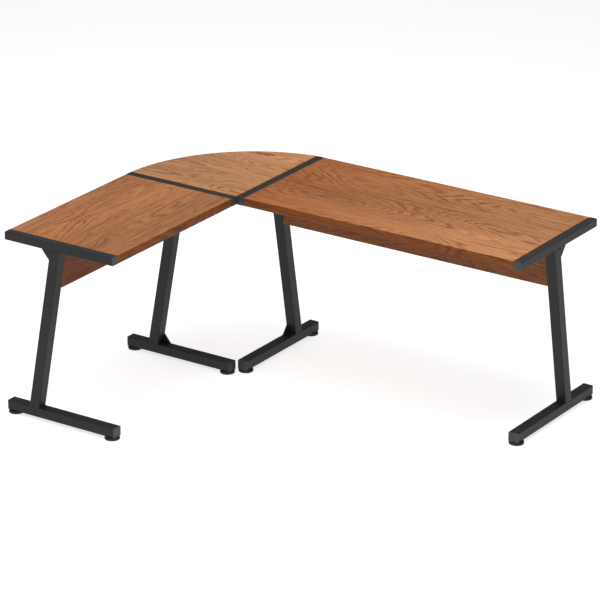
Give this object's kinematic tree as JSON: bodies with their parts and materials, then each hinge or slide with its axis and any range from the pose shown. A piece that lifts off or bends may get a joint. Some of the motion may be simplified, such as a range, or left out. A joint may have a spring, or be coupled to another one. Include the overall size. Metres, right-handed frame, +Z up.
{
  "type": "corner desk",
  "caption": "L-shaped corner desk with wood worktop arms, a rounded corner panel, raked-leg steel frames, modesty panels and levelling feet.",
  "frame": {"origin": "on the floor, in the middle of the footprint", "axes": "+X from the left arm's back edge to the right arm's free end, +Y from the left arm's free end to the right arm's back edge, +Z up"},
  "size_m": [1.824, 1.404, 0.75],
  "materials": {
    "worktop": "satin",
    "corner_worktop": "satin",
    "modesty_board": "satin",
    "steel": "satin",
    "cap_plastic": "matte",
    "foot_plastic": "matte",
    "zinc_steel": "satin"
  },
  "bodies": {
    "desk": {"left_top": "worktop", "right_top": "worktop", "corner_top": "corner_worktop", "left_modesty": "modesty_board", "right_modesty": "modesty_board", "left_end_top_beam": "steel", "left_end_leg": "steel", "left_end_foot_beam": "steel", "left_end_top_gusset": "steel", "left_end_caps": "cap_plastic", "left_inner_top_beam": "steel", "left_inner_leg": "steel", "left_inner_foot_beam": "steel", "left_inner_top_gusset": "steel", "left_inner_caps": "cap_plastic", "right_inner_top_beam": "steel", "right_inner_leg": "steel", "right_inner_foot_beam": "steel", "right_inner_top_gusset": "steel", "right_inner_caps": "cap_plastic", "right_end_top_beam": "steel", "right_end_leg": "steel", "right_end_foot_beam": "steel", "right_end_top_gusset": "steel", "right_end_caps": "cap_plastic", "left_inner_foot_gusset": "steel", "right_inner_foot_gusset": "steel", "end_support_plates": "steel", "inner_support_plates": "steel", "modesty_brackets": "steel", "worktop_screws": "zinc_steel", "modesty_screws": "zinc_steel", "foot_nuts": "zinc_steel"},
    "left_end_front_glide": {"left_end_front_pad": "foot_plastic"},
    "left_end_front_screw": {"left_end_front_stud": "zinc_steel", "left_end_front_wheel": "foot_plastic"},
    "left_end_back_glide": {"left_end_back_pad": "foot_plastic"},
    "left_end_back_screw": {"left_end_back_stud": "zinc_steel", "left_end_back_wheel": "foot_plastic"},
    "left_inner_front_glide": {"left_inner_front_pad": "foot_plastic"},
    "left_inner_front_screw": {"left_inner_front_stud": "zinc_steel", "left_inner_front_wheel": "foot_plastic"},
    "left_inner_back_glide": {"left_inner_back_pad": "foot_plastic"},
    "left_inner_back_screw": {"left_inner_back_stud": "zinc_steel", "left_inner_back_wheel": "foot_plastic"},
    "right_inner_front_glide": {"right_inner_front_pad": "foot_plastic"},
    "right_inner_front_screw": {"right_inner_front_stud": "zinc_steel", "right_inner_front_wheel": "foot_plastic"},
    "right_inner_back_glide": {"right_inner_back_pad": "foot_plastic"},
    "right_inner_back_screw": {"right_inner_back_stud": "zinc_steel", "right_inner_back_wheel": "foot_plastic"},
    "right_end_front_glide": {"right_end_front_pad": "foot_plastic"},
    "right_end_front_screw": {"right_end_front_stud": "zinc_steel", "right_end_front_wheel": "foot_plastic"},
    "right_end_back_glide": {"right_end_back_pad": "foot_plastic"},
    "right_end_back_screw": {"right_end_back_stud": "zinc_steel", "right_end_back_wheel": "foot_plastic"}
  },
  "joints": [
    {"name": "left_end_front_level", "type": "slide", "parent": "desk", "child": "left_end_front_glide", "axis": [0, 0, 1], "range_m": [-0.012, 0]},
    {"name": "left_end_front_turn", "type": "hinge", "parent": "left_end_front_glide", "child": "left_end_front_screw", "pos_m": [-0.42, -0.672, 0.01], "axis": [0, 0, 1], "range_deg": [-2880, 0]},
    {"name": "left_end_back_level", "type": "slide", "parent": "desk", "child": "left_end_back_glide", "axis": [0, 0, 1], "range_m": [-0.012, 0]},
    {"name": "left_end_back_turn", "type": "hinge", "parent": "left_end_back_glide", "child": "left_end_back_screw", "pos_m": [-0.882, -0.672, 0.01], "axis": [0, 0, 1], "range_deg": [-2880, 0]},
    {"name": "left_inner_front_level", "type": "slide", "parent": "desk", "child": "left_inner_front_glide", "axis": [0, 0, 1], "range_m": [-0.012, 0]},
    {"name": "left_inner_front_turn", "type": "hinge", "parent": "left_inner_front_glide", "child": "left_inner_front_screw", "pos_m": [-0.428, 0.106, 0.01], "axis": [0, 0, 1], "range_deg": [-2880, 0]},
    {"name": "left_inner_back_level", "type": "slide", "parent": "desk", "child": "left_inner_back_glide", "axis": [0, 0, 1], "range_m": [-0.012, 0]},
    {"name": "left_inner_back_turn", "type": "hinge", "parent": "left_inner_back_glide", "child": "left_inner_back_screw", "pos_m": [-0.882, 0.106, 0.01], "axis": [0, 0, 1], "range_deg": [-2880, 0]},
    {"name": "right_inner_front_level", "type": "slide", "parent": "desk", "child": "right_inner_front_glide", "axis": [0, 0, 1], "range_m": [-0.012, 0]},
    {"name": "right_inner_front_turn", "type": "hinge", "parent": "right_inner_front_glide", "child": "right_inner_front_screw", "pos_m": [-0.376, 0.16, 0.01], "axis": [0, 0, 1], "range_deg": [-2880, 0]},
    {"name": "right_inner_back_level", "type": "slide", "parent": "desk", "child": "right_inner_back_glide", "axis": [0, 0, 1], "range_m": [-0.012, 0]},
    {"name": "right_inner_back_turn", "type": "hinge", "parent": "right_inner_back_glide", "child": "right_inner_back_screw", "pos_m": [-0.376, 0.626, 0.01], "axis": [0, 0, 1], "range_deg": [-2880, 0]},
    {"name": "right_end_front_level", "type": "slide", "parent": "desk", "child": "right_end_front_glide", "axis": [0, 0, 1], "range_m": [-0.012, 0]},
    {"name": "right_end_front_turn", "type": "hinge", "parent": "right_end_front_glide", "child": "right_end_front_screw", "pos_m": [0.882, 0.15, 0.01], "axis": [0, 0, 1], "range_deg": [-2880, 0]},
    {"name": "right_end_back_level", "type": "slide", "parent": "desk", "child": "right_end_back_glide", "axis": [0, 0, 1], "range_m": [-0.012, 0]},
    {"name": "right_end_back_turn", "type": "hinge", "parent": "right_end_back_glide", "child": "right_end_back_screw", "pos_m": [0.882, 0.672, 0.01], "axis": [0, 0, 1], "range_deg": [-2880, 0]}
  ],
  "couplings": [
    {"joint": "left_end_front_turn", "follows": "left_end_front_level", "rad_per_m": 4188.8},
    {"joint": "left_end_back_turn", "follows": "left_end_back_level", "rad_per_m": 4188.8},
    {"joint": "left_inner_front_turn", "follows": "left_inner_front_level", "rad_per_m": 4188.8},
    {"joint": "left_inner_back_turn", "follows": "left_inner_back_level", "rad_per_m": 4188.8},
    {"joint": "right_inner_front_turn", "follows": "right_inner_front_level", "rad_per_m": 4188.8},
    {"joint": "right_inner_back_turn", "follows": "right_inner_back_level", "rad_per_m": 4188.8},
    {"joint": "right_end_front_turn", "follows": "right_end_front_level", "rad_per_m": 4188.8},
    {"joint": "right_end_back_turn", "follows": "right_end_back_level", "rad_per_m": 4188.8}
  ]
}
